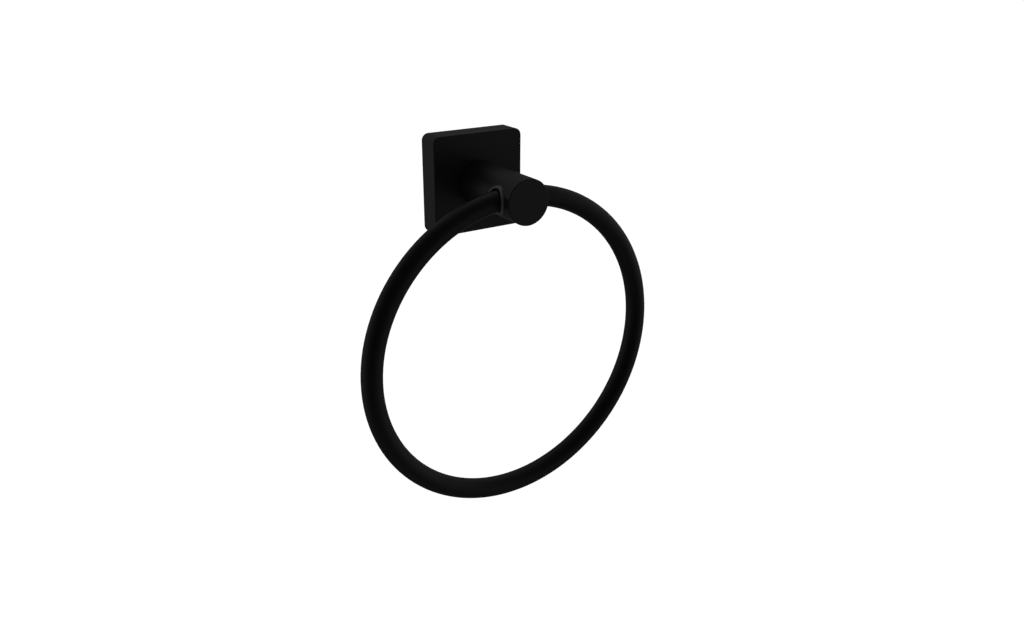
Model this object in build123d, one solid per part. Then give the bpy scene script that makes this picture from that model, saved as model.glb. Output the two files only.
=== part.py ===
from build123d import *
import math
import os

# Towel ring for a bathroom wall: a square backplate on a hidden wall bracket,
# a round post standing out from it, and one closed ring that swings in two
# plastic bushes in a hole drilled across the post.
#
# Frame: the wall is the plane y = 0 and the wall is on the +Y side, so the
# object stands out towards -Y. X runs along the wall, Z is up. The origin is
# the middle of the backplate on the wall. All sizes are in millimetres.

# ---------------------------------------------------------------- dimensions
# backplate: a square cover, hollow and open at the wall side
PLATE = 49.0            # width and height
PLATE_DEPTH = 12.2      # how far its front face stands from the wall
PLATE_CORNER = 3.5      # corner radius seen from the front
PLATE_EDGE = 0.5        # rounding of the front edge
PLATE_WALL = 2.5        # side walls
PLATE_FRONT = 3.2       # front wall
PLATE_SIT = 0.15        # the rim stops this far short of the wall plane

# post: turned bar with a plain flat end
POST_R = 11.0
POST_TIP = 56.4         # front end, measured from the wall
POST_EDGE = 0.4         # rounding of the front edge
POST_BASE_EDGE = 0.2    # small chamfer where it meets the backplate

# ring: round bar bent into a closed circle
RING_Y = -45.7          # plane in which the ring hangs
RING_R = 76.5           # centreline radius
BAR_R = 5.0             # bar radius
RING_TOP = 0.42         # height of the centreline's top over the post's axis

# hole across the post, 12.5 mm drill
CROSS_R = 6.25
CROSS_EDGE = 0.2        # rounding of both mouths

# split nylon bushes that the ring turns in, one at each end of that hole, each
# with a narrow rounded lip that follows the round of the post
BUSH_R = 6.23
BUSH_BORE_R = 5.65
BUSH_IN_X = 4.5         # inner end, from the middle
FLANGE_R = 6.75
FLANGE_PROUD = 0.9      # how far the flange stands off the post's surface
FLANGE_SIT = 0.02
BUSH_ROUND = 0.15       # rounding of the bore's mouth
BUSH_EDGE = 0.7         # rounding of the flange's outer edge
BUSH_SLIT = 1.0         # the slit that lets it snap over the bar
BUSH_SLIT_TURN = 30.0   # degrees that the slit sits below the wall side

# screw that holds the post to the backplate, M6 x 12 socket cap
PS_R = 3.0
PS_LEN = 12.0
PS_HEAD_R = 5.0
PS_HEAD_H = 6.0
PS_HEX = 5.0
PS_HEX_DEEP = 3.0
PS_CLEAR_R = 3.3
PS_THREAD_R = 3.04      # hole in the post, at the thread's outside
PS_HOLE_DEEP = 13.0
PS_POINT_R = 0.3        # small flat at the end of the drill point

# spring lock washer under that screw
LW_IN_R = 3.15
LW_OUT_R = 4.95
LW_T = 1.6
LW_GAP = 0.7

# dowel that stops the post turning on the backplate
PIN_R = 1.25
PIN_OFF = 7.5           # below the post's axis
PIN_IN_POST = 5.0
PIN_IN_PLATE = 2.6
PIN_HOLE_R = 1.27

# wall bracket: pressed sheet with flared flanges at the top and bottom
BR_T = 2.0
BR_W = 38.0
BR_DEPTH = 8.0
BR_FLARE = 12.0         # degrees that each flange leans outwards
BR_TIP_Z = 18.6         # outer corner of each flange at its front
BR_BEND = 1.0           # inside bend radius
BR_CORNER = 2.0
SLOT_X = 13.0           # each wall-screw slot from the middle
SLOT_R = 2.4
SLOT_LEN = 7.0
BR_EYE_R = 7.0          # hole in the middle that clears the post screw's head

# lug inside the backplate that hooks behind the upper flange
LUG_W = 24.0
LUG_GAP = 0.2
LUG_Y0 = -1.4
LUG_Y1 = -5.4

# grub screw through the backplate's underside, M4 x 6
GS_R = 2.0
GS_LEN = 6.0
GS_Y = -5.2
GS_HOLE_R = 2.03
GS_POINT_R = 1.25
GS_POINT_H = 0.7
GS_HEX = 2.0
GS_HEX_DEEP = 2.4
BOSS_W = 10.0
BOSS_Z = -19.3

HALF = PLATE / 2
IN_Z = HALF - PLATE_WALL
FLARE = math.tan(math.radians(BR_FLARE))


def flange_z(y):
    """Height of a flange's outer face at depth y (y is negative)."""
    return BR_TIP_Z - (BR_DEPTH + y) * FLARE


def yz_prism(points, width, middle=0.0):
    """Extrudes a polygon given as (y, z) points along X."""
    wire = Polyline(*[(middle - width / 2, y, z) for y, z in points], close=True)
    return extrude(make_face(wire), amount=width, dir=(1, 0, 0))


def along_y(radius, y0, y1, x=0.0, z=0.0):
    """A cylinder whose axis runs along Y, from y0 to y1."""
    low, high = min(y0, y1), max(y0, y1)
    return Pos(x, (low + high) / 2, z) * Rot(90, 0, 0) * Cylinder(radius, high - low)


def along_z(radius, z0, z1, x=0.0, y=0.0):
    """A cylinder whose axis runs along Z, from z0 to z1."""
    low, high = min(z0, z1), max(z0, z1)
    return Pos(x, y, (low + high) / 2) * Cylinder(radius, high - low)


def along_x(radius, x0, x1, y=0.0, z=0.0):
    """A cylinder whose axis runs along X, from x0 to x1."""
    low, high = min(x0, x1), max(x0, x1)
    return Pos((low + high) / 2, y, z) * Rot(0, 90, 0) * Cylinder(radius, high - low)


def hex_along_y(flats, y0, y1):
    """A hexagonal prism along Y for a socket."""
    low, high = min(y0, y1), max(y0, y1)
    sketch = RegularPolygon(flats / math.sqrt(3), 6)
    return Pos(0, high, 0) * Rot(90, 0, 0) * extrude(sketch, amount=high - low)


def hex_along_z(flats, z0, z1, x=0.0, y=0.0):
    low, high = min(z0, z1), max(z0, z1)
    sketch = RegularPolygon(flats / math.sqrt(3), 6)
    return Pos(x, y, low) * extrude(sketch, amount=high - low)


def saddle_edges(body, hole_r, post_r):
    """The edges where a hole along X at the ring's plane meets a cylinder along Y."""
    inner_x = math.sqrt(post_r**2 - hole_r**2)
    found = []
    for e in body.edges():
        if e.geom_type == GeomType.LINE:
            continue
        samples = [e @ t for t in (0.0, 0.21, 0.47, 0.83, 1.0)]
        on_hole = all(abs(math.hypot(p.Y - RING_Y, p.Z) - hole_r) < 0.02 for p in samples)
        on_post = all(abs(math.hypot(p.X, p.Z) - post_r) < 0.02 for p in samples)
        if on_hole and on_post:
            found.append(e)
    assert found and all(abs(e.center().X) > inner_x - 0.5 for e in found)
    return found


# ----------------------------------------------------------------- backplate
def make_backplate():
    y_rim = -PLATE_SIT
    y_front = -PLATE_DEPTH
    depth = y_rim - y_front
    # outline in the XZ plane, drawn from the wall side and grown towards -Y
    outline = RectangleRounded(PLATE, PLATE, PLATE_CORNER)
    shell = Pos(0, y_rim, 0) * Rot(90, 0, 0) * extrude(outline, amount=depth)
    front_face = shell.faces().sort_by(Axis.Y)[0]
    shell = fillet(front_face.edges(), PLATE_EDGE)
    inner = RectangleRounded(2 * IN_Z, 2 * IN_Z, 1.2)
    cavity = Pos(0, y_rim + 1, 0) * Rot(90, 0, 0) * extrude(
        inner, amount=1 + depth - PLATE_FRONT
    )
    shell -= cavity

    y_inside = y_front + PLATE_FRONT
    # lug behind the upper flange, its lower face parallel to the flange
    g = LUG_GAP
    lug = yz_prism(
        [
            (LUG_Y0, flange_z(LUG_Y0) + g),
            (LUG_Y1, flange_z(LUG_Y1) + g),
            (LUG_Y1, IN_Z + 0.5),
            (LUG_Y0, IN_Z + 0.5),
        ],
        LUG_W,
    )
    shell += lug
    # threaded boss for the grub screw
    boss = yz_prism(
        [
            (y_inside - 0.5, BOSS_Z),
            (-2.0, BOSS_Z),
            (-2.0, -IN_Z - 0.5),
            (y_inside - 0.5, -IN_Z - 0.5),
        ],
        BOSS_W,
    )
    shell += boss
    shell -= along_z(GS_HOLE_R, -HALF - 1, BOSS_Z + 1, 0, GS_Y)
    # screw hole and dowel hole in the front wall
    shell -= along_y(PS_CLEAR_R, y_front - 1, y_inside + 1)
    shell -= along_y(PIN_HOLE_R, y_front - 1, y_inside + 1, 0, -PIN_OFF)
    return shell


# ---------------------------------------------------------------------- post
def make_post():
    y0 = -PLATE_DEPTH
    body = along_y(POST_R, y0, -POST_TIP)
    tip = body.faces().sort_by(Axis.Y)[0]
    body = fillet(tip.edges(), POST_EDGE)
    root = body.faces().sort_by(Axis.Y)[-1]
    body = chamfer(root.edges(), POST_BASE_EDGE)
    # cross hole for the bushes and the ring
    body -= along_x(CROSS_R, -POST_R - 2, POST_R + 2, RING_Y, 0)
    body = fillet(saddle_edges(body, CROSS_R, POST_R), CROSS_EDGE)
    # blind hole for the post screw, with a drill point, and the dowel's hole
    body -= along_y(PS_THREAD_R, y0 + 1, y0 - PS_HOLE_DEEP)
    cone_h = (PS_THREAD_R - PS_POINT_R) / math.tan(math.radians(59))
    body -= Pos(0, y0 - PS_HOLE_DEEP - cone_h / 2, 0) * Rot(90, 0, 0) * Cone(
        PS_THREAD_R, PS_POINT_R, cone_h
    )
    body -= along_y(PIN_HOLE_R, y0 + 1, y0 - PIN_IN_POST - 0.3, 0, -PIN_OFF)
    return body


# ---------------------------------------------------------------------- ring
def make_ring():
    ring = Torus(RING_R, BAR_R)
    return Pos(0, RING_Y, RING_TOP - RING_R) * Rot(90, 0, 0) * ring


# -------------------------------------------------------------------- bushes
def make_bush_left():
    """A short split sleeve with a saddle-shaped lip, in the hole's -X end."""
    far = -(POST_R + 4)
    skin = POST_R + FLANGE_PROUD
    barrel = along_x(BUSH_R, -BUSH_IN_X, far, RING_Y, 0)
    barrel &= along_y(skin, RING_Y - 20, RING_Y + 20)
    flange = along_x(FLANGE_R, -2, far, RING_Y, 0)
    flange &= along_y(skin, RING_Y - 20, RING_Y + 20)
    flange -= along_y(POST_R + FLANGE_SIT, RING_Y - 21, RING_Y + 21)
    bush = barrel + flange
    bush -= along_x(BUSH_BORE_R, 0, far - 1, RING_Y, 0)
    bush = fillet(saddle_edges(bush, BUSH_BORE_R, skin), BUSH_ROUND)
    bush = fillet(saddle_edges(bush, FLANGE_R, skin), BUSH_EDGE)
    slit = Pos(-(POST_R + BUSH_IN_X) / 2, RING_Y, 0) * Rot(-BUSH_SLIT_TURN, 0, 0) * Pos(
        0, 6.0, 0
    ) * Box(2 * POST_R, 6.0, BUSH_SLIT)
    return bush - slit


def make_bush_right():
    return mirror(make_bush_left(), about=Plane.YZ)


# ---------------------------------------------------------------- post screw
def screw_head_y():
    """Underside of the post screw's head."""
    return -PLATE_DEPTH + PLATE_FRONT + LW_T + 0.04


def make_post_screw():
    y_seat = screw_head_y()
    head = along_y(PS_HEAD_R, y_seat, y_seat + PS_HEAD_H)
    outer = head.faces().sort_by(Axis.Y)[-1]
    head = fillet(outer.edges(), 0.5)
    head -= hex_along_y(PS_HEX, y_seat + PS_HEAD_H - PS_HEX_DEEP, y_seat + PS_HEAD_H + 1)
    shank = along_y(PS_R, y_seat + 0.5, y_seat - PS_LEN)
    end = shank.faces().sort_by(Axis.Y)[0]
    shank = chamfer(end.edges(), 0.7)
    return head + shank


# --------------------------------------------------------------- lock washer
def make_lock_washer():
    y0 = -PLATE_DEPTH + PLATE_FRONT + 0.02
    body = along_y(LW_OUT_R, y0, y0 + LW_T) - along_y(LW_IN_R, y0 - 1, y0 + LW_T + 1)
    cut = Box(LW_GAP, LW_T * 3, LW_OUT_R * 1.2)
    cut = Pos(0, y0 + LW_T / 2, LW_OUT_R * 0.75) * Rot(0, 0, 25) * cut
    return body - cut


# -------------------------------------------------------------- locating pin
def make_locating_pin():
    y0 = -PLATE_DEPTH + PIN_IN_PLATE
    y1 = -PLATE_DEPTH - PIN_IN_POST
    pin = along_y(PIN_R, y0, y1, 0, -PIN_OFF)
    ends = [e for f in pin.faces().sort_by(Axis.Y)[:: 2] for e in f.edges()
            if e.geom_type == GeomType.CIRCLE]
    return chamfer(ends, 0.3)


# -------------------------------------------------------------- wall bracket
def make_wall_bracket():
    z_base = flange_z(0.0)                 # outer faces, carried back to the wall
    tilt = math.radians(BR_FLARE)
    # inner face of a flange lies one sheet thickness inside the outer face
    drop = BR_T / math.cos(tilt)
    tip_in_y = -BR_DEPTH + BR_T * math.sin(tilt)
    tip_in_z = BR_TIP_Z - BR_T * math.cos(tilt)
    inner_at_sheet = flange_z(-BR_T) - drop
    outline = [
        (0.0, z_base),
        (-BR_DEPTH, BR_TIP_Z),
        (tip_in_y, tip_in_z),
        (-BR_T, inner_at_sheet),
        (-BR_T, -inner_at_sheet),
        (tip_in_y, -tip_in_z),
        (-BR_DEPTH, -BR_TIP_Z),
        (0.0, -z_base),
    ]
    sheet = yz_prism(outline, BR_W)
    outer = [
        e
        for e in sheet.edges().filter_by(Axis.X)
        if abs(e.center().Y) < 0.01 and abs(abs(e.center().Z) - z_base) < 0.01
    ]
    sheet = fillet(outer, BR_BEND + BR_T)
    inner = [
        e
        for e in sheet.edges().filter_by(Axis.X)
        if abs(e.center().Y + BR_T) < 0.01
        and abs(abs(e.center().Z) - inner_at_sheet) < 0.01
    ]
    sheet = fillet(inner, BR_BEND)
    # corners of the flanges, rounded across the sheet
    corners = [
        e
        for e in sheet.edges()
        if abs(e.length - BR_T) < 0.05
        and e.center().Y < -BR_DEPTH + 1.0
        and abs(abs(e.center().X) - BR_W / 2) < 0.01
    ]
    sheet = fillet(corners, BR_CORNER)
    # the hole in the middle and two slots for the wall screws
    sheet -= along_y(BR_EYE_R, -BR_T - 1, 1)
    slot = SlotOverall(SLOT_LEN, 2 * SLOT_R)
    for x in (-SLOT_X, SLOT_X):
        sheet -= Pos(x, 1, 0) * Rot(90, 0, 0) * extrude(slot, amount=BR_T + 2)
    return sheet


# ---------------------------------------------------------------- grub screw
def make_grub_screw():
    # the point's front edge is what first meets the flared flange
    z_tip = -(flange_z(GS_Y - GS_POINT_R) + 0.05)
    z_end = z_tip - GS_LEN
    body = along_z(GS_R, z_end, z_tip - GS_POINT_H, 0, GS_Y)
    rim = body.faces().sort_by(Axis.Z)[0]
    body = chamfer(rim.edges(), 0.3)
    point = Pos(0, GS_Y, z_tip - GS_POINT_H / 2) * Cone(
        GS_R, GS_POINT_R, GS_POINT_H
    )
    body += point
    body -= hex_along_z(GS_HEX, z_end - 1, z_end + GS_HEX_DEEP, 0, GS_Y)
    return body


PARTS = {
    "backplate": make_backplate,
    "post": make_post,
    "ring": make_ring,
    "bush_left": make_bush_left,
    "bush_right": make_bush_right,
    "post_screw": make_post_screw,
    "lock_washer": make_lock_washer,
    "locating_pin": make_locating_pin,
    "wall_bracket": make_wall_bracket,
    "grub_screw": make_grub_screw,
}

os.makedirs("parts", exist_ok=True)
for name, make in PARTS.items():
    shape = make()
    solids = shape.solids()
    print(name, "solids", len(solids), "volume", round(sum(s.volume for s in solids), 2))
    export_step(shape, f"parts/{name}.step")
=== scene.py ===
import bmesh
import bpy
import math
from mathutils import Matrix, Vector


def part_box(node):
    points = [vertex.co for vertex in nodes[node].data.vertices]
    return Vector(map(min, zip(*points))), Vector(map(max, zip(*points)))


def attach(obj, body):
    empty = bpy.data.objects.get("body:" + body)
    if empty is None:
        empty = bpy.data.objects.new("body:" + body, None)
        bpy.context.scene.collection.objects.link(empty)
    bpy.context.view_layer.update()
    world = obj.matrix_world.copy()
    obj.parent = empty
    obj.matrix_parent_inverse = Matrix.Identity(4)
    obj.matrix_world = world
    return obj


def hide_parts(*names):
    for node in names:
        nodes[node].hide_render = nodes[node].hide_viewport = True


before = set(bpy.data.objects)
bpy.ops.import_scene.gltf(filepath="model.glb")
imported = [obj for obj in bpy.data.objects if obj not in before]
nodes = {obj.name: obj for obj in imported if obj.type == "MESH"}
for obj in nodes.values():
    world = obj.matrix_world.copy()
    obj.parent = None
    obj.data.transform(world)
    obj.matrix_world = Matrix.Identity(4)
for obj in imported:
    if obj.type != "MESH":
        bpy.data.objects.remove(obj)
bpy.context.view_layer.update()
scene = bpy.context.scene

# ------------------------------------------------------------------ camera
# Fitted to the outlines of the plate, post and ring. Degrees and metres; the
# focal length and the centre are in pixels of a 1024 x 621 frame.
YAW, PITCH, ROLL = 33.560, 20.994, 0.436
FOCAL_PX, CX, CY = 874.285, 522.09, 288.63
DIST, SIDE, RISE = 0.438614, 0.009145, 0.024691
AIM = Vector((0.0, -0.035, -0.075))
W, H = 1024.0, 621.0


def make_camera():
    yaw, pitch, roll = (math.radians(a) for a in (YAW, PITCH, ROLL))
    back = Vector((-math.sin(yaw) * math.cos(pitch), -math.cos(yaw) * math.cos(pitch), math.sin(pitch)))
    right = Vector((math.cos(yaw), -math.sin(yaw), 0.0))
    up = back.cross(right)
    r2 = math.cos(roll) * right + math.sin(roll) * up
    u2 = -math.sin(roll) * right + math.cos(roll) * up
    pos = AIM + SIDE * r2 + RISE * u2 + DIST * back
    data = bpy.data.cameras.new("camera")
    data.sensor_fit = "HORIZONTAL"
    data.sensor_width = 36.0
    data.lens = FOCAL_PX / W * 36.0
    data.shift_x = (W / 2 - CX) / W
    data.shift_y = (CY - H / 2) / W
    data.clip_start = 0.01
    data.clip_end = 200.0
    cam = bpy.data.objects.new("camera", data)
    m = Matrix.Identity(4)
    for i, axis in enumerate((r2, u2, back)):
        for k in range(3):
            m[k][i] = axis[k]
    for k in range(3):
        m[k][3] = pos[k]
    cam.matrix_world = m
    scene.collection.objects.link(cam)
    scene.camera = cam
    return cam


make_camera()


# --------------------------------------------------------------- materials
def new_material(name):
    m = bpy.data.materials.new(name)
    m.use_nodes = True
    nt = m.node_tree
    for n in list(nt.nodes):
        nt.nodes.remove(n)
    out = nt.nodes.new("ShaderNodeOutputMaterial")
    bsdf = nt.nodes.new("ShaderNodeBsdfPrincipled")
    nt.links.new(bsdf.outputs["BSDF"], out.inputs["Surface"])
    return m, nt, bsdf


def node(nt, kind, **values):
    n = nt.nodes.new(kind)
    for key, value in values.items():
        if hasattr(n, key):
            setattr(n, key, value)
        else:
            n.inputs[key.replace("_", " ")].default_value = value
    return n


def powder_coat(name, tone=0.029, rough=0.35):
    """Fine-textured matt black powder coat: a close grain over a faint orange peel, with slow changes of tone and sheen."""
    m, nt, bsdf = new_material(name)
    L = nt.links.new
    coord = node(nt, "ShaderNodeTexCoord")
    grain = node(nt, "ShaderNodeTexNoise", Scale=2600.0, Detail=3.0, Roughness=0.55)
    peel = node(nt, "ShaderNodeTexNoise", Scale=520.0, Detail=2.0, Roughness=0.5)
    drift = node(nt, "ShaderNodeTexNoise", Scale=38.0, Detail=3.0, Roughness=0.55)
    for n in (grain, peel, drift):
        L(coord.outputs["Object"], n.inputs["Vector"])
    ramp = node(nt, "ShaderNodeMapRange")
    ramp.inputs["From Min"].default_value = 0.3
    ramp.inputs["From Max"].default_value = 0.7
    ramp.inputs["To Min"].default_value = rough - 0.045
    ramp.inputs["To Max"].default_value = rough + 0.045
    L(drift.outputs["Fac"], ramp.inputs["Value"])
    fine = node(nt, "ShaderNodeMath", operation="MULTIPLY_ADD")
    fine.inputs[1].default_value = 0.10
    L(grain.outputs["Fac"], fine.inputs[0])
    L(ramp.outputs["Result"], fine.inputs[2])
    L(fine.outputs["Value"], bsdf.inputs["Roughness"])
    mix = node(nt, "ShaderNodeMix", data_type="RGBA")
    mix.inputs[6].default_value = (tone * 0.85, tone * 0.85, tone * 0.86, 1)
    mix.inputs[7].default_value = (tone * 1.2, tone * 1.2, tone * 1.19, 1)
    L(drift.outputs["Fac"], mix.inputs[0])
    L(mix.outputs[2], bsdf.inputs["Base Color"])
    height = node(nt, "ShaderNodeMath", operation="MULTIPLY_ADD")
    height.inputs[1].default_value = 0.6
    L(peel.outputs["Fac"], height.inputs[0])
    L(grain.outputs["Fac"], height.inputs[2])
    bump = node(nt, "ShaderNodeBump")
    bump.inputs["Strength"].default_value = 0.35
    bump.inputs["Distance"].default_value = 0.00003
    L(height.outputs["Value"], bump.inputs["Height"])
    L(bump.outputs["Normal"], bsdf.inputs["Normal"])
    bsdf.inputs["Specular IOR Level"].default_value = 0.5
    return m


def steel(name, tone=(0.56, 0.56, 0.55), rough=0.34, axis=(1, 1, 1), scale=900.0, metallic=1.0):
    """Plain worked steel: fine drawn lines across the given axis, and cloudy changes of sheen."""
    m, nt, bsdf = new_material(name)
    L = nt.links.new
    coord = node(nt, "ShaderNodeTexCoord")
    mapping = node(nt, "ShaderNodeMapping")
    mapping.inputs["Scale"].default_value = axis
    L(coord.outputs["Object"], mapping.inputs["Vector"])
    lines = node(nt, "ShaderNodeTexNoise", Scale=scale, Detail=5.0, Roughness=0.6)
    L(mapping.outputs["Vector"], lines.inputs["Vector"])
    cloud = node(nt, "ShaderNodeTexNoise", Scale=120.0, Detail=4.0, Roughness=0.6)
    L(coord.outputs["Object"], cloud.inputs["Vector"])
    ramp = node(nt, "ShaderNodeMapRange")
    ramp.inputs["From Min"].default_value = 0.3
    ramp.inputs["From Max"].default_value = 0.7
    ramp.inputs["To Min"].default_value = rough - 0.08
    ramp.inputs["To Max"].default_value = rough + 0.10
    L(cloud.outputs["Fac"], ramp.inputs["Value"])
    L(ramp.outputs["Result"], bsdf.inputs["Roughness"])
    mix = node(nt, "ShaderNodeMix", data_type="RGBA")
    mix.inputs[6].default_value = (*[c * 0.86 for c in tone], 1)
    mix.inputs[7].default_value = (*[min(1, c * 1.08) for c in tone], 1)
    L(lines.outputs["Fac"], mix.inputs[0])
    L(mix.outputs[2], bsdf.inputs["Base Color"])
    bump = node(nt, "ShaderNodeBump")
    bump.inputs["Strength"].default_value = 0.25
    bump.inputs["Distance"].default_value = 0.00002
    L(lines.outputs["Fac"], bump.inputs["Height"])
    L(bump.outputs["Normal"], bsdf.inputs["Normal"])
    bsdf.inputs["Metallic"].default_value = metallic
    return m


def moulded_plastic(name, tone=0.31, rough=0.42):
    """Moulded nylon: a faint etched skin, with slow changes of sheen."""
    m, nt, bsdf = new_material(name)
    L = nt.links.new
    coord = node(nt, "ShaderNodeTexCoord")
    skin = node(nt, "ShaderNodeTexNoise", Scale=5200.0, Detail=2.0, Roughness=0.5)
    flow = node(nt, "ShaderNodeTexNoise", Scale=160.0, Detail=3.0, Roughness=0.5)
    for n in (skin, flow):
        L(coord.outputs["Object"], n.inputs["Vector"])
    ramp = node(nt, "ShaderNodeMapRange")
    ramp.inputs["From Min"].default_value = 0.3
    ramp.inputs["From Max"].default_value = 0.7
    ramp.inputs["To Min"].default_value = rough - 0.05
    ramp.inputs["To Max"].default_value = rough + 0.06
    L(flow.outputs["Fac"], ramp.inputs["Value"])
    L(ramp.outputs["Result"], bsdf.inputs["Roughness"])
    mix = node(nt, "ShaderNodeMix", data_type="RGBA")
    mix.inputs[6].default_value = (tone * 0.9, tone * 0.9, tone * 0.91, 1)
    mix.inputs[7].default_value = (tone * 1.12, tone * 1.12, tone * 1.11, 1)
    L(flow.outputs["Fac"], mix.inputs[0])
    L(mix.outputs[2], bsdf.inputs["Base Color"])
    bump = node(nt, "ShaderNodeBump")
    bump.inputs["Strength"].default_value = 0.2
    bump.inputs["Distance"].default_value = 0.00001
    L(skin.outputs["Fac"], bump.inputs["Height"])
    L(bump.outputs["Normal"], bsdf.inputs["Normal"])
    bsdf.inputs["Specular IOR Level"].default_value = 0.5
    return m


FINISH = {
    "backplate": powder_coat("coat_backplate"),
    "post": powder_coat("coat_post"),
    # The ring has the same coat as the plate and post. Its lower tone here is painted shade.
    "ring": powder_coat("coat_ring_painted_shade", 0.012),
    "bush_left": moulded_plastic("nylon_left"),
    "bush_right": moulded_plastic("nylon_right"),
    "post_screw": steel("zinc_plate", (0.60, 0.60, 0.57), 0.30, (1, 1, 1)),
    "lock_washer": steel("spring_steel", (0.30, 0.30, 0.30), 0.40, (1, 1, 1)),
    "locating_pin": steel("pin_steel", (0.60, 0.60, 0.60), 0.25, (1, 0.1, 1)),
    "wall_bracket": steel("bracket_steel", (0.56, 0.56, 0.54), 0.36, (0.06, 1, 1)),
    "grub_screw": steel("black_oxide", (0.035, 0.035, 0.036), 0.38, (1, 1, 1)),
}
for name, mat in FINISH.items():
    o = nodes[name]
    o.data.materials.clear()
    o.data.materials.append(mat)


# ----------------------------------------------------------------- fasteners
# Each screw is one closed skin: rings of points round its axis, from the middle
# of the socket out over the head, down the shank and in again at the tip. Sizes
# are in millimetres along the screw, with the socket's end at 0.
def hexagon(flats, angle):
    """Distance from the axis to a hexagonal socket's wall at an angle."""
    sixth = math.pi / 3
    return flats / 2 / math.cos((angle + sixth / 2) % sixth - sixth / 2)


def thread(depth, pitch, at, angle):
    """How far a right-hand thread lies below its crest."""
    turn = (at / pitch - angle / (2 * math.pi)) % 1.0
    away = abs(turn - 0.5) * 2.0
    crest, root = 0.125, 0.25
    return depth * min(1.0, max(0.0, (1.0 - away - crest) / (1.0 - crest - root)))


def ease(value, low, high):
    t = min(1.0, max(0.0, (value - low) / (high - low)))
    return t * t * (3.0 - 2.0 * t)


def skin(name, rings, start, end, steps, place):
    """Builds the closed skin. rings is a list of functions of the angle that give (radius, distance along)."""
    points = [place(0.0, 0.0, start)]
    for ring in rings:
        for k in range(steps):
            angle = 2 * math.pi * k / steps
            radius, along = ring(angle)
            points.append(place(radius * math.cos(angle), radius * math.sin(angle), along))
    points.append(place(0.0, 0.0, end))
    last = len(points) - 1
    faces = []
    for k in range(steps):
        n = (k + 1) % steps
        faces.append((0, 1 + k, 1 + n))
        for i in range(len(rings) - 1):
            a, b = 1 + i * steps, 1 + (i + 1) * steps
            faces.append((a + k, b + k, b + n, a + n))
        a = 1 + (len(rings) - 1) * steps
        faces.append((a + k, last, a + n))
    me = bpy.data.meshes.new(name)
    me.from_pydata(points, [], faces)
    bm = bmesh.new()
    bm.from_mesh(me)
    bmesh.ops.recalc_face_normals(bm, faces=bm.faces)
    bm.to_mesh(me)
    bm.free()
    me.shade_smooth()
    me.set_sharp_from_angle(angle=math.radians(32))
    piece = bpy.data.objects.new(name, me)
    scene.collection.objects.link(piece)
    return piece


def cap_screw():
    """M6 x 12 socket cap screw: knurled head, 5 mm socket, 1 mm thread."""
    low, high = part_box("post_screw")
    top = high[1] * 1000.0
    steps, teeth = 216, 36

    def flat(radius, along):
        return lambda angle: (radius, along)

    rings = []
    # socket: drilled bottom, six flats, a small countersink at the mouth
    rings.append(flat(1.2, 3.25))
    rings.append(flat(2.0, 3.05))
    for along in (3.0, 2.0, 1.0, 0.35):
        rings.append(lambda angle, along=along: (hexagon(5.0, angle), along))
    for along in (0.22, 0.0):
        rings.append(lambda angle, along=along: (max(hexagon(5.0, angle), 2.98 - along * 1.2), along))
    rings.append(flat(3.3, 0.0))
    rings.append(flat(4.45, 0.0))
    for k in range(1, 5):
        turn = math.pi / 2 * k / 5
        rings.append(flat(4.45 + 0.5 * math.sin(turn), 0.5 - 0.5 * math.cos(turn)))
    # knurled side
    def knurl(along):
        depth = 0.17 * ease(along, 0.45, 0.95) * (1.0 - ease(along, 5.2, 5.6))

        def ring(angle):
            part = (angle / (2 * math.pi) * teeth) % 1.0
            return 4.98 - depth * (1.0 - abs(part - 0.5) * 2.0), along

        return ring

    for k in range(15):
        rings.append(knurl(0.5 + 5.2 * k / 14))
    rings.append(flat(4.95, 5.85))
    rings.append(flat(4.85, 6.0))
    rings.append(flat(3.45, 6.0))
    for k in range(1, 5):
        turn = math.pi / 2 * k / 4
        rings.append(flat(3.3 - 0.3 * math.sin(turn), 6.3 - 0.3 * math.cos(turn)))
    # thread, run out under the head and cut off by the chamfer at the tip
    length, rows = 12.0, 108

    def threaded(along):
        cut = ease(along, 6.9, 8.0)
        limit = min(3.0, 2.3 + (6.0 + length - along))

        def ring(angle):
            radius = 2.995 - cut * thread(0.58, 1.0, along, angle)
            return min(radius, limit), along

        return ring

    for k in range(1, rows + 1):
        rings.append(threaded(6.5 + (length - 0.5) * k / rows))
    rings.append(flat(1.4, 6.0 + length))

    def place(u, v, along):
        return (u / 1000.0, (top - along) / 1000.0, v / 1000.0)

    piece = skin("cap_screw", rings, 3.55, 6.0 + length, steps, place)
    piece.data.materials.append(FINISH["post_screw"])
    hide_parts("post_screw")
    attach(piece, "holder")
    return piece


def set_screw():
    """M4 x 6 grub screw: 2 mm socket, 0.7 mm thread, blunt cone point."""
    low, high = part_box("grub_screw")
    bottom = low[2] * 1000.0
    mid_y = (low[1] + high[1]) * 500.0
    steps, length = 144, 6.0

    def flat(radius, along):
        return lambda angle: (radius, along)

    rings = [flat(0.5, 2.55), flat(0.8, 2.45)]
    for along in (2.4, 1.6, 0.8, 0.2):
        rings.append(lambda angle, along=along: (hexagon(2.0, angle), along))
    for along in (0.1, 0.0):
        rings.append(lambda angle, along=along: (max(hexagon(2.0, angle), 1.2 - along * 1.2), along))
    rings.append(flat(1.4, 0.0))

    def threaded(along):
        limit = min(2.0, 1.55 + along * 1.2, 1.62 + (length - 0.7 - along) * 0.9)

        def ring(angle):
            radius = 1.995 - thread(0.4, 0.7, along, angle)
            return min(radius, max(limit, 1.4)), along

        return ring

    for k in range(0, 73):
        rings.append(threaded(5.3 * k / 72))
    rings.append(flat(1.26, 5.9))
    rings.append(flat(1.12, length))
    rings.append(flat(0.6, length))

    def place(u, v, along):
        return (u / 1000.0, (mid_y + v) / 1000.0, (bottom + along) / 1000.0)

    piece = skin("set_screw", rings, 2.75, length, steps, place)
    piece.data.materials.append(FINISH["grub_screw"])
    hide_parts("grub_screw")
    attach(piece, "holder")
    return piece


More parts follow.
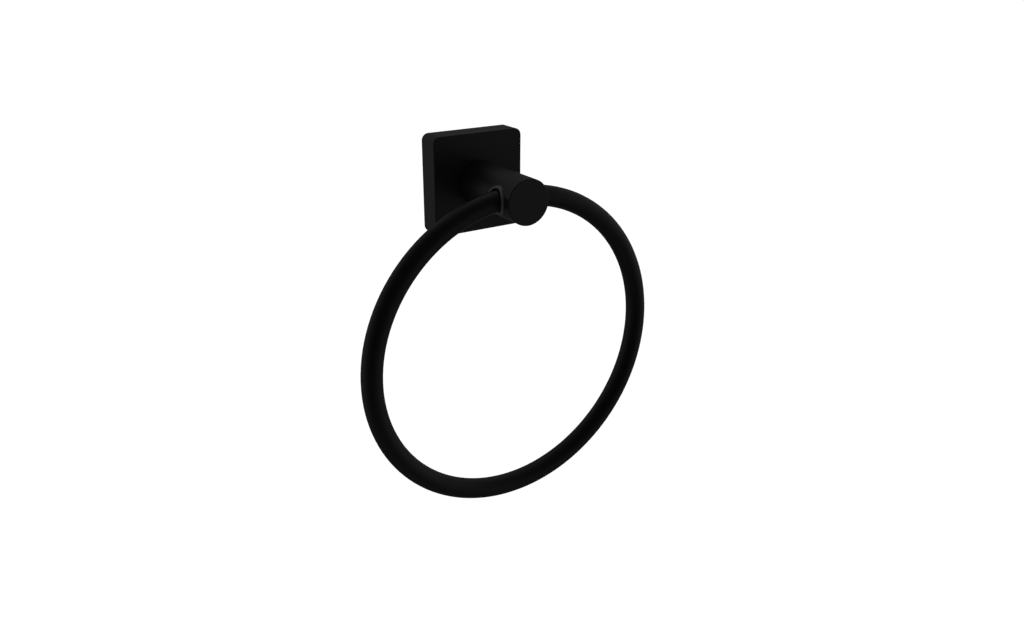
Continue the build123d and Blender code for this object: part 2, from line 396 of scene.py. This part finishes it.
cap_screw()
set_screw()


# ------------------------------------------------------------------- stage
def emissive_white(name, strength=1.0):
    m = bpy.data.materials.new(name)
    m.use_nodes = True
    nt = m.node_tree
    for n in list(nt.nodes):
        nt.nodes.remove(n)
    out = nt.nodes.new("ShaderNodeOutputMaterial")
    em = nt.nodes.new("ShaderNodeEmission")
    em.inputs["Color"].default_value = (1, 1, 1, 1)
    em.inputs["Strength"].default_value = strength
    nt.links.new(em.outputs["Emission"], out.inputs["Surface"])
    return m


def make_floor():
    me = bpy.data.meshes.new("floor")
    s, z = 60.0, -0.75
    me.from_pydata([(-s, -s, z), (s, -s, z), (s, s, z), (-s, s, z)], [], [(0, 1, 2, 3)])
    floor = bpy.data.objects.new("floor", me)
    scene.collection.objects.link(floor)
    me.materials.append(emissive_white("floor_white", 1.05))
    floor.visible_diffuse = False
    floor.visible_glossy = False
    floor.visible_shadow = False


make_floor()


# A soft studio: a white tent behind and beside the object, open and dark towards
# the camera's left and above it. Each entry is the middle of a soft patch of the
# tent, as a direction from the object, and its brightness. A weak even fill comes
# from everywhere.
LOBE = 10.0
TENT = [
    ((-0.54, 0.77, 0.34), 0.11),
    ((-0.82, 0.57, -0.02), 0.075),
    ((-0.89, 0.24, -0.39), 0.115),
    ((-0.37, 0.89, -0.25), 0.05),
    ((-0.18, 0.69, 0.70), 0.08),
    ((0.33, 0.43, 0.84), 0.07),
    ((0.26, 0.84, 0.48), 0.04),
    ((0.74, 0.27, 0.61), 0.05),
    ((0.74, 0.62, 0.25), 0.055),
    ((0.99, 0.13, 0.02), 0.10),
    ((0.90, -0.20, 0.39), 0.09),
    ((0.89, -0.41, -0.20), 0.10),
    ((0.70, -0.70, 0.16), 0.06),
    ((0.49, -0.76, -0.43), 0.062),
    ((-0.25, -0.39, -0.89), 0.07),
    ((0.48, 0.53, -0.70), 0.05),
    ((0.10, 0.05, 0.99), 0.06),
]
FILL = 0.024
BACKGROUND = 1.05


def make_world():
    world = bpy.data.worlds.new("studio")
    scene.world = world
    world.use_nodes = True
    nt = world.node_tree
    L = nt.links.new
    for n in list(nt.nodes):
        nt.nodes.remove(n)
    out = nt.nodes.new("ShaderNodeOutputWorld")
    coord = nt.nodes.new("ShaderNodeTexCoord")
    total = None
    for direction, strength in TENT:
        dot = nt.nodes.new("ShaderNodeVectorMath")
        dot.operation = "DOT_PRODUCT"
        dot.inputs[1].default_value = Vector(direction).normalized()
        L(coord.outputs["Generated"], dot.inputs[0])
        fall = nt.nodes.new("ShaderNodeMath")
        fall.operation = "MULTIPLY_ADD"
        fall.inputs[1].default_value = LOBE
        fall.inputs[2].default_value = -LOBE
        L(dot.outputs["Value"], fall.inputs[0])
        lobe = nt.nodes.new("ShaderNodeMath")
        lobe.operation = "EXPONENT"
        L(fall.outputs["Value"], lobe.inputs[0])
        add = nt.nodes.new("ShaderNodeMath")
        add.operation = "MULTIPLY_ADD"
        add.inputs[1].default_value = strength
        add.inputs[2].default_value = FILL
        L(lobe.outputs["Value"], add.inputs[0])
        if total is not None:
            L(total.outputs["Value"], add.inputs[2])
        total = add
    tent = nt.nodes.new("ShaderNodeBackground")
    tent.inputs["Color"].default_value = (1, 1, 1, 1)
    L(total.outputs["Value"], tent.inputs["Strength"])
    seen = nt.nodes.new("ShaderNodeBackground")
    seen.inputs["Color"].default_value = (1, 1, 1, 1)
    seen.inputs["Strength"].default_value = BACKGROUND
    path = nt.nodes.new("ShaderNodeLightPath")
    mix = nt.nodes.new("ShaderNodeMixShader")
    L(path.outputs["Is Camera Ray"], mix.inputs["Fac"])
    L(tent.outputs["Background"], mix.inputs[1])
    L(seen.outputs["Background"], mix.inputs[2])
    L(mix.outputs["Shader"], out.inputs["Surface"])


make_world()

scene.view_settings.view_transform = "Standard"
scene.view_settings.look = "None"
scene.view_settings.exposure = 0.0
scene.view_settings.gamma = 1.0

bpy.context.view_layer.update()
